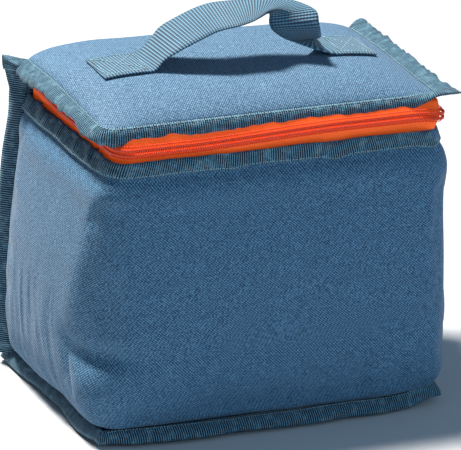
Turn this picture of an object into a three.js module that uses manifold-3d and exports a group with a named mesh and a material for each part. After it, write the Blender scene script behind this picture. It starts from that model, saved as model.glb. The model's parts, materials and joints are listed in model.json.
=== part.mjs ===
// Soft insulated lunch bag with a zipped top lid and one webbing handle.
// Millimetres, +Z up, the front faces -Y. The base rests on z = 0.
import * as THREE from 'three';
import { mergeVertices } from 'three/addons/utils/BufferGeometryUtils.js';
import Module from 'manifold-3d';

const wasm = await Module();
wasm.setup();

// ---- driving dimensions ----
const GAP = 0.3;

// body of the bag: outer cloth surface before the walls bulge
const HALF_WIDTH = 110;
const HALF_DEPTH = 68;
const CORNER_RADIUS = 16;
const SEAM_Z = 9.6;
const RIM_Z = 180;
const RIM_HALF_WIDTH = 107.5;
const SEAM_HALF_WIDTH = 112;
const SIDE_BULGE = 11.5;
const FRONT_BULGE = 9;
const WALL_STEPS = 7;
const BULGE_START = 0.2;

// layers of the wall, measured inwards from the outer surface
const CLOTH = 0.8;
const FOAM = 4;
const LINING = 0.6;
const FOAM_START = CLOTH + GAP;
const FOAM_END = FOAM_START + FOAM;
const LINING_START = FOAM_END + GAP;
const LINING_END = LINING_START + LINING;
const FOAM_TOP_Z = 168;
const SIDE_FOAM_BACK_Y = 62;
const BACK_FOAM_HALF_WIDTH = 104;

// binding tape round the base: folded over the seam, leaning outwards and down to the floor
const BASE_HALF_WIDTH = 117.5;
const BASE_HALF_DEPTH = 76;
const BASE_FLANGE_OUT = 7.9;
const BASE_FLANGE_THICKNESS = 2;
const BASE_FLANGE_SLANT = 1.5;
const BASE_FLANGE_EDGE = 2.2;
const BASE_FLANGE_FOOT = 2.8;

// layers of the base, from the floor up, and how far each is set in from the binding's edge
const BASE_CLOTH = 1;
const BASE_FOAM_Z = BASE_CLOTH + GAP;
const BASE_LINING_Z = BASE_FOAM_Z + FOAM + GAP;
const BASE_CLOTH_INSET = 4.1;
const BASE_FOAM_INSET = 8.3;
const BASE_LINING_INSET = 13.5;

// binding tape at the rim and up the back corners
const BINDING_WIDTH = 11;
const BINDING_THICKNESS = 1;
const BACK_BINDING_TOP_Z = 187;
const BACK_BINDING_THICKNESS = 2;
const BACK_BINDING_LEAN = 0.25;
const BACK_BINDING_INSET = 1.4;
const BACK_REACH = 80;
const RIM_BINDING_BACK_Y = 65;

// zipper
const TAPE = 0.6;
const TAPE_GAP = 1.6;
const ZIP_Z = 189;
const LOWER_TAPE_START_Z = 170;
const UPPER_TAPE_END_Z = 195;
const COIL_GAP = 1.2;
const COIL_HEIGHT = 3.2;
const COIL_DEPTH = 1.6;
const ZIP_BACK_Y = 62;

// lid
const LID_HALF_WIDTH = 108.5;
const LID_FRONT_Y = -60;
const LID_BACK_Y = 58;
const LID_EDGE_Z = 202.5;
const LID_CROWN = 12.5;
const LAYER_INSET = 5;
const LID_FLANGE_OUT = 11;
const LID_FLANGE_THICKNESS = 2;
const LID_FRONT_FLANGE_OUT = 9;
const LID_FRONT_DROOP = 6.5;
const LID_SIDE_DROOP = 2;
const LID_DROOP_RUN = 25;
const LID_CELLS = [10, 7];

// hinge fold between the back panel and the lid
const BACK_PANEL_TOP_Z = 193.5;
const FOLD_LOW_Z = BACK_PANEL_TOP_Z + GAP;
const FOLD_INSET = 1;
const BACK_LINING_TOP_Z = 185.5;

// handle
const STRAP_WIDTH = 30;
const STRAP_THICKNESS = 1.8;
const HANDLE_Y = 4;
const HANDLE_AXIS_Z = 232;
const HANDLE_LEAN_DEG = 22;
const LEFT_CUT_X = -34;
const RIGHT_CUT_X = 52;
const CUT_GAP = 0.5;
const STRAP_LIFT = 0.9;

// slider and puller
const SLIDER_Y = 48;
const PLATE = 0.8;
const SLIDER_LENGTH = 11;
const SLIDER_HEIGHT = 8;
const WEB = 0.6;
const WEB_LENGTH = 3;
const BRIDGE_REACH = 2.6;
const BRIDGE_RADIUS = 0.8;
const BRIDGE_HALF_LENGTH = 3;
const POST_HALF_WIDTH = 0.6;
const POST_HEIGHT = 1.6;
const JOIN = 0.1;
const EYE_RADIUS = 2.1;
const EYE_BORE_RADIUS = 1.1;
const EYE_LENGTH = 3.4;
const BORE_SPARE = 2;
const PULLER_LENGTH = 16;
const PULLER_WIDTH = 6;
const PULLER_THICKNESS = 1.2;
const PULLER_OFFSET = 0.9;
const NECK_LENGTH = 6;
const NECK_OVERLAP = 0.5;

// ---- materials ----
function material(color, roughness, metalness = 0) {
  return new THREE.MeshStandardMaterial({ color, roughness, metalness });
}
const blueCloth = 0x5f83a4;
const tealTape = 0x3f7896;
const orangeTape = 0xe0491c;
const darkOrange = 0xc23a14;
const foamWhite = 0xe6e6e2;
const liningSilver = 0xc9ccd0;
const webbingTeal = 0x3d7390;
const zincGrey = 0x8b8d90;

const bag = new THREE.Group();

function add(name, geometry, color, roughness = 0.9, metalness = 0) {
  const mesh = new THREE.Mesh(geometry, material(color, roughness, metalness));
  mesh.name = name;
  bag.add(mesh);
  return mesh;
}

// ---- shaping helpers ----

// Calls fn with each vertex, which it may move.
function deform(geometry, fn) {
  const at = geometry.attributes.position;
  const p = new THREE.Vector3();
  for (let i = 0; i < at.count; i += 1) {
    p.fromBufferAttribute(at, i);
    fn(p);
    at.setXYZ(i, p.x, p.y, p.z);
  }
  return geometry;
}

// Heights at which the walls bend. Every layer bends at the same ones, so none cuts another.
function wallLevels(z0, z1) {
  const all = [];
  for (let i = 0; i <= WALL_STEPS; i += 1) {
    all.push(THREE.MathUtils.lerp(SEAM_Z, RIM_Z, i / WALL_STEPS));
  }
  return [z0, ...all.filter((z) => z > z0 + 0.01 && z < z1 - 0.01), z1];
}

// How far out the wall stands at a height: it narrows to the rim and bulges in between.
function wallScale(z) {
  const position = THREE.MathUtils.clamp((z - SEAM_Z) / (RIM_Z - SEAM_Z), 0, 1) * WALL_STEPS;
  const level = Math.min(Math.floor(position), WALL_STEPS - 1);
  const at = (i) => {
    const t = (i + BULGE_START) / (WALL_STEPS + BULGE_START);
    const round = Math.sqrt(4 * t * (1 - t));
    const width = THREE.MathUtils.lerp(SEAM_HALF_WIDTH, RIM_HALF_WIDTH, t) + SIDE_BULGE * round;
    return [width / HALF_WIDTH, 1 + FRONT_BULGE * round / HALF_DEPTH];
  };
  const [below, above] = [at(level), at(level + 1)];
  return [0, 1].map((k) => THREE.MathUtils.lerp(below[k], above[k], position - level));
}

// The back stays flat from front to back.
function bulge(p) {
  const [wide, deep] = wallScale(p.z);
  p.x *= wide;
  if (p.y < 0) p.y *= deep;
}

// Moves a geometry's evenly spaced layers to the wall's bending heights, then bulges it.
function bendWall(geometry, z0, z1) {
  const levels = wallLevels(z0, z1);
  return deform(geometry, (p) => {
    p.z = levels[Math.round((p.z - z0) / (z1 - z0) * (levels.length - 1))];
    bulge(p);
  });
}

// Height of the lid's outer surface: a low cushion, highest in the middle.
function lidTop(x, y) {
  const middle = (LID_FRONT_Y + LID_BACK_Y) / 2;
  const u = x / LID_HALF_WIDTH;
  const v = (y - middle) / ((LID_BACK_Y - LID_FRONT_Y) / 2);
  const across = Math.max(0, 1 - Math.abs(u) ** 3);
  const along = Math.max(0, 1 - Math.abs(v) ** 3);
  return LID_EDGE_Z + LID_CROWN * across * along;
}

// One side of a U-shaped line round the left, front and right walls, from the back left.
function traceWalls(path, offset, yBack, reverse) {
  const x = HALF_WIDTH - offset;
  const y = HALF_DEPTH - offset;
  const r = CORNER_RADIUS - offset;
  const cx = HALF_WIDTH - CORNER_RADIUS;
  const cy = HALF_DEPTH - CORNER_RADIUS;
  if (!reverse) {
    path.moveTo(-x, yBack);
    path.lineTo(-x, -cy);
    path.absarc(-cx, -cy, r, Math.PI, 1.5 * Math.PI, false);
    path.lineTo(cx, -y);
    path.absarc(cx, -cy, r, 1.5 * Math.PI, 2 * Math.PI, false);
    path.lineTo(x, yBack);
    return;
  }
  path.lineTo(x, yBack);
  path.lineTo(x, -cy);
  path.absarc(cx, -cy, r, 2 * Math.PI, 1.5 * Math.PI, true);
  path.lineTo(-cx, -y);
  path.absarc(-cx, -cy, r, 1.5 * Math.PI, Math.PI, true);
  path.lineTo(-x, yBack);
}

// A U-shaped band round three walls, between two offsets and two heights.
function wallBand(outer, inner, yBack, z0, z1) {
  const shape = new THREE.Shape();
  traceWalls(shape, outer, yBack, false);
  traceWalls(shape, inner, yBack, true);
  const geometry = new THREE.ExtrudeGeometry(shape, {
    depth: z1 - z0, steps: wallLevels(z0, z1).length - 1, curveSegments: 5, bevelEnabled: false,
  });
  geometry.translate(0, 0, z0);
  return bendWall(geometry, z0, z1);
}

// A box between two corners, cut into cells so that it can bend.
function slab(low, high, cells = [1, 1, 1]) {
  const size = high.map((v, i) => v - low[i]);
  const geometry = new THREE.BoxGeometry(...size, ...cells);
  geometry.translate(...low.map((v, i) => v + size[i] / 2));
  return geometry;
}

// A flat board that follows the wall's bulge.
function wallBoard(low, high) {
  const layers = wallLevels(low[2], high[2]).length - 1;
  return bendWall(slab(low, high, [1, 1, layers]), low[2], high[2]);
}

// Sweeps a cross-section along stations. Each station has a corner point, an outward
// direction in the plane and its own section, a list of [outward, height] pairs.
function sweep(stations, closed) {
  const positions = [];
  const count = stations[0].section.length;
  for (const { at, out, section } of stations) {
    for (const [o, z] of section) {
      positions.push(at[0] + o * out[0], at[1] + o * out[1], z);
    }
  }
  const index = [];
  const runs = closed ? stations.length : stations.length - 1;
  for (let s = 0; s < runs; s += 1) {
    const a = s * count;
    const b = ((s + 1) % stations.length) * count;
    for (let i = 0; i < count; i += 1) {
      const j = (i + 1) % count;
      index.push(a + i, b + i, b + j, a + i, b + j, a + j);
    }
  }
  if (!closed) {
    const last = (stations.length - 1) * count;
    for (let i = 1; i < count - 1; i += 1) {
      index.push(0, i, i + 1);
      index.push(last, last + i + 1, last + i);
    }
  }
  const geometry = new THREE.BufferGeometry();
  geometry.setAttribute('position', new THREE.Float32BufferAttribute(positions, 3));
  geometry.setIndex(index);
  return geometry;
}

function toSolid(geometry) {
  const bare = geometry.clone();
  bare.deleteAttribute('normal');
  bare.deleteAttribute('uv');
  const merged = mergeVertices(bare, 1e-4);
  return new wasm.Manifold(new wasm.Mesh({
    numProp: 3,
    vertProperties: new Float32Array(merged.attributes.position.array),
    triVerts: new Uint32Array(merged.index.array),
  }));
}

function fromSolid(solid) {
  const { numProp, vertProperties, triVerts } = solid.getMesh();
  const positions = [];
  for (let i = 0; i < vertProperties.length; i += numProp) {
    positions.push(vertProperties[i], vertProperties[i + 1], vertProperties[i + 2]);
  }
  const geometry = new THREE.BufferGeometry();
  geometry.setAttribute('position', new THREE.Float32BufferAttribute(positions, 3));
  geometry.setIndex(Array.from(triVerts));
  geometry.computeVertexNormals();
  return geometry;
}

// ---- body of the bag ----

function makeWalls() {
  const clothBack = HALF_DEPTH - CLOTH - GAP;
  add('front_side_panel', wallBand(0, CLOTH, clothBack, SEAM_Z, RIM_Z), blueCloth);
  const backLow = [-HALF_WIDTH, HALF_DEPTH - CLOTH, SEAM_Z];
  const backHigh = [HALF_WIDTH, HALF_DEPTH, BACK_PANEL_TOP_Z];
  add('back_panel', wallBoard(backLow, backHigh), blueCloth);
  const liningBack = HALF_DEPTH - LINING_END - GAP;
  const walls = wallBand(LINING_START, LINING_END, liningBack, SEAM_Z, FOAM_TOP_Z);
  add('wall_lining', walls, liningSilver, 0.4);
  const inside = HALF_WIDTH - LINING_START;
  const liningLow = [-inside, HALF_DEPTH - LINING_END, SEAM_Z];
  const liningHigh = [inside, HALF_DEPTH - LINING_START, BACK_LINING_TOP_Z];
  add('back_lining', wallBoard(liningLow, liningHigh), liningSilver, 0.4);
}

function makeWallFoam() {
  const straightX = HALF_WIDTH - CORNER_RADIUS;
  const straightY = HALF_DEPTH - CORNER_RADIUS;
  const boards = {
    front_foam: [[-straightX, -HALF_DEPTH + FOAM_START], [straightX, -HALF_DEPTH + FOAM_END]],
    left_foam: [
      [-HALF_WIDTH + FOAM_START, -straightY],
      [-HALF_WIDTH + FOAM_END, SIDE_FOAM_BACK_Y],
    ],
    right_foam: [
      [HALF_WIDTH - FOAM_END, -straightY],
      [HALF_WIDTH - FOAM_START, SIDE_FOAM_BACK_Y],
    ],
    back_foam: [
      [-BACK_FOAM_HALF_WIDTH, HALF_DEPTH - FOAM_END],
      [BACK_FOAM_HALF_WIDTH, HALF_DEPTH - FOAM_START],
    ],
  };
  for (const [name, [low, high]] of Object.entries(boards)) {
    add(name, wallBoard([...low, SEAM_Z], [...high, FOAM_TOP_Z]), foamWhite);
  }
}

// One flat layer of the base, set in from the binding's outer edge.
function baseLayer(inset, z, thickness) {
  const x = BASE_HALF_WIDTH - inset;
  const y = BASE_HALF_DEPTH - inset;
  return slab([-x, -y, z], [x, y, z + thickness]);
}

function makeBase() {
  add('bottom_panel', baseLayer(BASE_CLOTH_INSET, 0, BASE_CLOTH), blueCloth);
  add('bottom_foam', baseLayer(BASE_FOAM_INSET, BASE_FOAM_Z, FOAM), foamWhite);
  add('bottom_lining', baseLayer(BASE_LINING_INSET, BASE_LINING_Z, LINING), liningSilver, 0.4);
  const top = SEAM_Z - GAP;
  const section = [
    [0, 0], [0, BASE_FLANGE_EDGE], [-BASE_FLANGE_OUT, top],
    [-BASE_FLANGE_OUT - BASE_FLANGE_SLANT, top - BASE_FLANGE_THICKNESS], [-BASE_FLANGE_FOOT, 0],
  ];
  const corners = [[-1, 1], [-1, -1], [1, -1], [1, 1]];
  const ring = corners.map((out) => ({
    at: [out[0] * BASE_HALF_WIDTH, out[1] * BASE_HALF_DEPTH], out, section,
  }));
  add('bottom_binding', sweep(ring, true), tealTape);
}

function makeBindings() {
  const low = RIM_Z - BINDING_WIDTH;
  const rim = wallBand(-GAP - BINDING_THICKNESS, -GAP, RIM_BINDING_BACK_Y, low, RIM_Z);
  add('rim_binding', rim, tealTape);
  for (const [name, side] of [['left_back_binding', -1], ['right_back_binding', 1]]) {
    const y0 = HALF_DEPTH + GAP;
    const strip = wallBoard([0, y0, SEAM_Z],
      [BACK_BINDING_THICKNESS, BACK_REACH, BACK_BINDING_TOP_Z]);
    deform(strip, (p) => {
      const [wide] = wallScale(p.z);
      const fromEdge = p.x / wide + BACK_BINDING_INSET - BACK_BINDING_LEAN * (p.y - y0);
      p.x = side * (HALF_WIDTH * wide - fromEdge);
    });
    if (side > 0) flip(strip);
    add(name, strip, tealTape);
  }
}

// Turns a mirrored mesh's faces outwards again.
function flip(geometry) {
  const index = geometry.index.array;
  for (let i = 0; i < index.length; i += 3) {
    const keep = index[i];
    index[i] = index[i + 2];
    index[i + 2] = keep;
  }
  return geometry;
}

// ---- zipper ----

function makeZipper() {
  const outer = CLOTH + GAP;
  const inner = outer + TAPE;
  const face = outer - GAP;
  const lowerTop = ZIP_Z - TAPE_GAP / 2;
  const upperLow = ZIP_Z + TAPE_GAP / 2;
  const tape = (z0, z1) => wallBand(outer, inner, ZIP_BACK_Y, z0, z1);
  add('lower_zip_tape', tape(LOWER_TAPE_START_Z, lowerTop), orangeTape);
  add('upper_zip_tape', tape(upperLow, UPPER_TAPE_END_Z), orangeTape);
  const coil = (z0, z1) => wallBand(face - COIL_DEPTH, face, ZIP_BACK_Y, z0, z1);
  const half = COIL_GAP / 2;
  add('lower_zip_coil', coil(ZIP_Z - half - COIL_HEIGHT, ZIP_Z - half), darkOrange, 0.6);
  add('upper_zip_coil', coil(ZIP_Z + half, ZIP_Z + half + COIL_HEIGHT), darkOrange, 0.6);
}

// Where the zipper's layers lie on the right side, above the rim.
function zipSideX(offset) {
  return (HALF_WIDTH - offset) * RIM_HALF_WIDTH / HALF_WIDTH;
}

function makeSlider() {
  const tapeBack = zipSideX(CLOTH + GAP + TAPE);
  const coilFront = zipSideX(CLOTH - COIL_DEPTH);
  const y0 = SLIDER_Y - SLIDER_LENGTH / 2;
  const y1 = SLIDER_Y + SLIDER_LENGTH / 2;
  const z0 = ZIP_Z - SLIDER_HEIGHT / 2;
  const z1 = ZIP_Z + SLIDER_HEIGHT / 2;
  const outerX = coilFront + GAP;
  const innerX = tapeBack - GAP;
  const bridgeX = outerX + PLATE + BRIDGE_REACH;
  const post = (y) => slab(
    [outerX + PLATE - JOIN, y - POST_HALF_WIDTH, ZIP_Z - POST_HEIGHT / 2],
    [bridgeX + BRIDGE_RADIUS, y + POST_HALF_WIDTH, ZIP_Z + POST_HEIGHT / 2],
  );
  const web = slab(
    [innerX - JOIN, y0, ZIP_Z - WEB / 2],
    [outerX + JOIN, y0 + WEB_LENGTH, ZIP_Z + WEB / 2],
  );
  const bar = new THREE.CylinderGeometry(BRIDGE_RADIUS, BRIDGE_RADIUS, 2 * BRIDGE_HALF_LENGTH, 12);
  bar.translate(bridgeX, SLIDER_Y, ZIP_Z);
  const pieces = [
    slab([outerX, y0, z0], [outerX + PLATE, y1, z1]),
    slab([innerX - PLATE, y0, z0], [innerX, y1, z1]),
    web,
    post(SLIDER_Y - BRIDGE_HALF_LENGTH),
    post(SLIDER_Y + BRIDGE_HALF_LENGTH),
    bar,
  ];
  let solid = toSolid(pieces[0]);
  for (const piece of pieces.slice(1)) solid = solid.add(toSolid(piece));
  add('zip_slider', fromSolid(solid), zincGrey, 0.35, 0.9);
  makePuller(bridgeX);
}

function makePuller(bridgeX) {
  const eye = new THREE.CylinderGeometry(EYE_RADIUS, EYE_RADIUS, EYE_LENGTH, 16);
  eye.translate(bridgeX, SLIDER_Y, ZIP_Z);
  const bore = new THREE.CylinderGeometry(EYE_BORE_RADIUS, EYE_BORE_RADIUS, EYE_LENGTH + BORE_SPARE, 16);
  bore.translate(bridgeX, SLIDER_Y, ZIP_Z);
  const x = bridgeX + PULLER_OFFSET;
  const neck = slab(
    [x - PULLER_THICKNESS / 2, SLIDER_Y - EYE_LENGTH / 2, ZIP_Z - NECK_LENGTH],
    [x + PULLER_THICKNESS / 2, SLIDER_Y + EYE_LENGTH / 2, ZIP_Z],
  );
  const blade = slab(
    [x - PULLER_THICKNESS / 2, SLIDER_Y - PULLER_WIDTH / 2, ZIP_Z - PULLER_LENGTH],
    [x + PULLER_THICKNESS / 2, SLIDER_Y + PULLER_WIDTH / 2, ZIP_Z - NECK_LENGTH + NECK_OVERLAP],
  );
  const solid = toSolid(eye).add(toSolid(neck)).add(toSolid(blade)).subtract(toSolid(bore));
  add('zip_puller', fromSolid(solid), zincGrey, 0.35, 0.9);
}

// ---- lid ----

// Evenly spaced lines across the lid, with one more line close to each edge.
function lidLines(low, high, cells) {
  const lines = [low];
  for (let i = 0; i <= cells; i += 1) {
    lines.push(THREE.MathUtils.lerp(low + LAYER_INSET, high - LAYER_INSET, i / cells));
  }
  return [...lines, high];
}

// One crowned layer of the lid. An inner layer leaves out the outermost lines.
function lidSheet(skip, depth, thickness) {
  const keep = (lines) => lines.slice(skip, lines.length - skip);
  const xs = keep(lidLines(-LID_HALF_WIDTH, LID_HALF_WIDTH, LID_CELLS[0]));
  const ys = keep(lidLines(LID_FRONT_Y, LID_BACK_Y, LID_CELLS[1]));
  const positions = [];
  for (const down of [depth, depth + thickness]) {
    for (const y of ys) {
      for (const x of xs) positions.push(x, y, lidTop(x, y) - down);
    }
  }
  const under = xs.length * ys.length;
  const id = (i, j) => j * xs.length + i;
  const index = [];
  for (let j = 0; j < ys.length - 1; j += 1) {
    for (let i = 0; i < xs.length - 1; i += 1) {
      const [a, b, c, d] = [id(i, j), id(i + 1, j), id(i + 1, j + 1), id(i, j + 1)];
      index.push(a, b, c, a, c, d);
      index.push(a + under, c + under, b + under, a + under, d + under, c + under);
    }
  }
  const edge = [];
  for (let i = 0; i < xs.length - 1; i += 1) edge.push(id(i, 0));
  for (let j = 0; j < ys.length - 1; j += 1) edge.push(id(xs.length - 1, j));
  for (let i = xs.length - 1; i > 0; i -= 1) edge.push(id(i, ys.length - 1));
  for (let j = ys.length - 1; j > 0; j -= 1) edge.push(id(0, j));
  edge.forEach((a, k) => {
    const b = edge[(k + 1) % edge.length];
    index.push(a, a + under, b + under, a, b + under, b);
  });
  const geometry = new THREE.BufferGeometry();
  geometry.setAttribute('position', new THREE.Float32BufferAttribute(positions, 3));
  geometry.setIndex(index);
  return geometry;
}

function makeLid() {
  add('lid_panel', lidSheet(0, 0, CLOTH), blueCloth);
  add('lid_foam', lidSheet(1, FOAM_START, FOAM), foamWhite);
  add('lid_lining', lidSheet(1, LINING_START, LINING), liningSilver, 0.4);
  const flange = (droop) => [
    [LID_FLANGE_OUT, LID_EDGE_Z - droop - LID_FLANGE_THICKNESS],
    [LID_FLANGE_OUT, LID_EDGE_Z - droop],
    [GAP, LID_EDGE_Z],
    [GAP, LID_EDGE_Z - LID_FLANGE_THICKNESS],
  ];
  const side = flange(LID_SIDE_DROOP);
  const corner = flange(LID_FRONT_DROOP);
  const forward = LID_FRONT_FLANGE_OUT / LID_FLANGE_OUT;
  const w = LID_HALF_WIDTH;
  const stations = [
    { at: [-w, LID_BACK_Y], out: [-1, 0], section: side },
    { at: [-w, LID_FRONT_Y + LID_DROOP_RUN], out: [-1, 0], section: side },
    { at: [-w, LID_FRONT_Y], out: [-1, -forward], section: corner },
    { at: [w, LID_FRONT_Y], out: [1, -forward], section: corner },
    { at: [w, LID_FRONT_Y + LID_DROOP_RUN], out: [1, 0], section: side },
    { at: [w, LID_BACK_Y], out: [1, 0], section: side },
  ];
  add('lid_binding', sweep(stations, false), tealTape);
}

// Quarter round of cloth from the back panel's top edge over to the lid's back edge.
function makeHingeFold() {
  const radiusY = HALF_DEPTH - LID_BACK_Y - GAP;
  const radiusZ = LID_EDGE_Z - FOLD_LOW_Z;
  const shape = new THREE.Shape();
  shape.absellipse(0, 0, radiusY, radiusZ, 0, Math.PI / 2, false, 0);
  shape.absellipse(0, 0, radiusY - CLOTH, radiusZ - CLOTH, Math.PI / 2, 0, true, 0);
  const width = 2 * (RIM_HALF_WIDTH - FOLD_INSET);
  const geometry = new THREE.ExtrudeGeometry(shape, {
    depth: width, steps: 1, curveSegments: 6, bevelEnabled: false,
  });
  geometry.translate(0, 0, -width / 2);
  // section (across, up, along) becomes (y, z, x)
  deform(geometry, (p) => {
    p.set(p.z, LID_BACK_Y + GAP + p.x, FOLD_LOW_Z + p.y);
  });
  add('hinge_fold', geometry, blueCloth);
}

// ---- handle ----

// A flat strap that follows a line of [x, z] points, extruded across its width.
function strapAlong(points) {
  const line = new THREE.CatmullRomCurve3(points.map(([x, z]) => new THREE.Vector3(x, 0, z)),
    false, 'centripetal');
  const count = (points.length - 1) * 4;
  const upper = [];
  const lower = [];
  for (let i = 0; i <= count; i += 1) {
    const at = line.getPoint(i / count);
    const along = line.getTangent(i / count);
    const across = new THREE.Vector2(-along.z, along.x).multiplyScalar(STRAP_THICKNESS / 2);
    upper.push(new THREE.Vector2(at.x + across.x, at.z + across.y));
    lower.push(new THREE.Vector2(at.x - across.x, at.z - across.y));
  }
  const shape = new THREE.Shape([...lower, ...upper.reverse()]);
  const geometry = new THREE.ExtrudeGeometry(shape, {
    depth: STRAP_WIDTH, steps: 1, bevelEnabled: false,
  });
  // shape (x, z) extruded along width becomes (x, y, z) with y across the strap
  return deform(geometry, (p) => {
    p.set(p.x, HANDLE_Y + STRAP_WIDTH / 2 - p.z, p.y);
  });
}

function makeHandle() {
  const lean = THREE.MathUtils.degToRad(HANDLE_LEAN_DEG);
  // the legs rise from the lid, untwist by the lean and meet the loop on the tilt axis
  const follow = (x) => lidTop(x, HANDLE_Y) + STRAP_LIFT + STRAP_THICKNESS / 2;
  const left = [-92, -80, -66, -52].map((x) => [x, follow(x)]);
  const right = [62, 70, 80, 90].map((x) => [x, follow(x)]);
  const loop = [
    [-44, 224.5], [LEFT_CUT_X, HANDLE_AXIS_Z], [-18, 239], [2, 244], [20, 246], [34, 246],
    [45, 243], [51, 238], [RIGHT_CUT_X + 0.6, HANDLE_AXIS_Z], [54, 223.5],
  ];
  const whole = strapAlong([...left, ...loop, ...right]);
  deform(whole, (p) => {
    const share = THREE.MathUtils.smoothstep(p.z, follow(0) + 1, HANDLE_AXIS_Z);
    const angle = lean * share;
    const y = p.y - HANDLE_Y;
    const z = p.z - HANDLE_AXIS_Z;
    const above = Math.max(z, 0);
    p.y = HANDLE_Y + y * Math.cos(angle) - above * Math.sin(angle);
    p.z = HANDLE_AXIS_Z + above * Math.cos(angle) + Math.min(z, 0) + y * Math.sin(angle);
  });
  const solid = toSolid(whole);
  const far = 400;
  const take = (x0, x1) => fromSolid(solid.intersect(toSolid(slab([x0, -far, 0], [x1, far, far]))));
  const half = CUT_GAP / 2;
  add('handle_end_left', take(-far, LEFT_CUT_X - half), webbingTeal);
  add('handle_strap', take(LEFT_CUT_X + half, RIGHT_CUT_X - half), webbingTeal);
  add('handle_end_right', take(RIGHT_CUT_X + half, far), webbingTeal);
}

makeWalls();
makeWallFoam();
makeBase();
makeBindings();
makeZipper();
makeSlider();
makeLid();
makeHingeFold();
makeHandle();

// the origin is below the middle of the whole bag
bag.position.y = (BASE_HALF_DEPTH - BACK_REACH) / 2;

export default bag;
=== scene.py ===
"""A soft insulated lunch bag with a zipped lid and a webbing handle, on a pale floor.

Shapes are worked out in millimetres and turned into metres as each mesh is made. Materials,
lights and the camera are in metres; MM turns a length in millimetres into metres.
"""

import json
import math

import bmesh
import bpy
import numpy as np
from mathutils import Matrix, Vector

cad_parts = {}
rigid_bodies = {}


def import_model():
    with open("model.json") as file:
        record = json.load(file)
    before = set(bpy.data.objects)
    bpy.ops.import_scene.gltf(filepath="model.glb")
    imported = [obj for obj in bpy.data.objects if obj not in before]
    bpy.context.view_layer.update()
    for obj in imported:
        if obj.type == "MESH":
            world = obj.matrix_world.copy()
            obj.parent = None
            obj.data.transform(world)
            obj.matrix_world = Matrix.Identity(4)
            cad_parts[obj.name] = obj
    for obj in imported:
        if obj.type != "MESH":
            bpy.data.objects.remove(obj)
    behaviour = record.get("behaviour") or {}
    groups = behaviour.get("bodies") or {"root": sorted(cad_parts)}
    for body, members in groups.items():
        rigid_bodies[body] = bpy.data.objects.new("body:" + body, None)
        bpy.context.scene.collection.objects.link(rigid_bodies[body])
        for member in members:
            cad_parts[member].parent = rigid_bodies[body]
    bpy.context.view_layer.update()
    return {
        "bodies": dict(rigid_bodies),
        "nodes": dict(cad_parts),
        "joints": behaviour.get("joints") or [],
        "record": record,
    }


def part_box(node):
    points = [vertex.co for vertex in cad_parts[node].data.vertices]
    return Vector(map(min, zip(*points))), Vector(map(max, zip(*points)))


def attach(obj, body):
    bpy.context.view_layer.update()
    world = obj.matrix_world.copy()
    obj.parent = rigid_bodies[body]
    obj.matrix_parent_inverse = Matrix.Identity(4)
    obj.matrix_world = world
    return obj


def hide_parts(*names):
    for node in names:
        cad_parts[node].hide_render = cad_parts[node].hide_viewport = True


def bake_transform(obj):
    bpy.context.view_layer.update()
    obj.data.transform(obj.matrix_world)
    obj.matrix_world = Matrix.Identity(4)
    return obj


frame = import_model()

MM = 0.001

# ---- places read from the frame, in millimetres ----


def corners_of(node):
    return [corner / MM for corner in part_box(node)]


WALL_LOW, WALL_HIGH = corners_of("front_side_panel")
BASE_LOW, BASE_HIGH = corners_of("bottom_binding")
RIM_LOW = corners_of("rim_binding")[0]
LID_LOW, LID_HIGH = corners_of("lid_panel")
UPPER_TAPE_LOW, UPPER_TAPE_HIGH = corners_of("upper_zip_tape")
LEFT_END_LOW, LEFT_END_HIGH = corners_of("handle_end_left")

CENTRE_Y = (BASE_LOW.y + BASE_HIGH.y) / 2
BACK_Y = corners_of("back_panel")[1].y
SEAM_Z = WALL_LOW.z
RIM_Z = WALL_HIGH.z
WALL_HEIGHT = RIM_Z - SEAM_Z
BASE_X = BASE_HIGH.x
BASE_Y = (BASE_HIGH.y - BASE_LOW.y) / 2
RIM_X = UPPER_TAPE_HIGH.x + 1.1
RIM_Y = CENTRE_Y - UPPER_TAPE_LOW.y + 1.1
ZIP_Z = (corners_of("lower_zip_coil")[1].z + corners_of("upper_zip_coil")[0].z) / 2
LID_X = LID_HIGH.x
LID_FRONT = LID_LOW.y
LID_BACK = LID_HIGH.y
LID_SEAM_Z = corners_of("lid_binding")[1].z


# ---- shaping helpers ----


def soft_noise(a, b, size, seed):
    """Smooth noise from -1 to 1 over two lengths, with features of about the given size."""
    cells = 64
    table = np.random.default_rng(seed).uniform(-1, 1, (cells, cells))
    x, y = np.asarray(a) / size + 31.7, np.asarray(b) / size + 17.3
    i, j = np.floor(x).astype(int), np.floor(y).astype(int)
    fx, fy = x - i, y - j
    fx, fy = fx * fx * (3 - 2 * fx), fy * fy * (3 - 2 * fy)

    def at(di, dj):
        return table[(i + di) % cells, (j + dj) % cells]

    low = at(0, 0) * (1 - fx) + at(1, 0) * fx
    high = at(0, 1) * (1 - fx) + at(1, 1) * fx
    return low * (1 - fy) + high * fy


def ripple(a, size, seed):
    """Smooth noise along one length."""
    return soft_noise(a, 0 * a, size, seed)


def smooth(a, b, x):
    """0 before a, 1 after b and a smooth step in between."""
    t = np.clip((np.asarray(x) - a) / (b - a), 0, 1)
    return t * t * (3 - 2 * t)


def hump(x, middle, width):
    """A smooth bump of height 1."""
    return np.exp(-(((np.asarray(x) - middle) / width) ** 2))


def joined(*parts):
    """Coordinates put side by side on a last axis; a lone number serves every point."""
    return np.stack(np.broadcast_arrays(*parts), axis=-1)


def crossed(a, b):
    """Two grids with every pairing of the values in a and b."""
    return np.meshgrid(a, b, indexing="ij")


def lerp(a, b, t):
    return a + (b - a) * t


def unit(v):
    return v / np.maximum(np.linalg.norm(v, axis=-1, keepdims=True), 1e-12)


def span(start, end):
    """Directions and lengths from each start to its end."""
    return unit(end - start), np.linalg.norm(end - start, axis=1)


def arc_length(points):
    steps = np.linalg.norm(np.diff(points, axis=0), axis=1)
    return np.concatenate([[0], np.cumsum(steps)])


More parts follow.
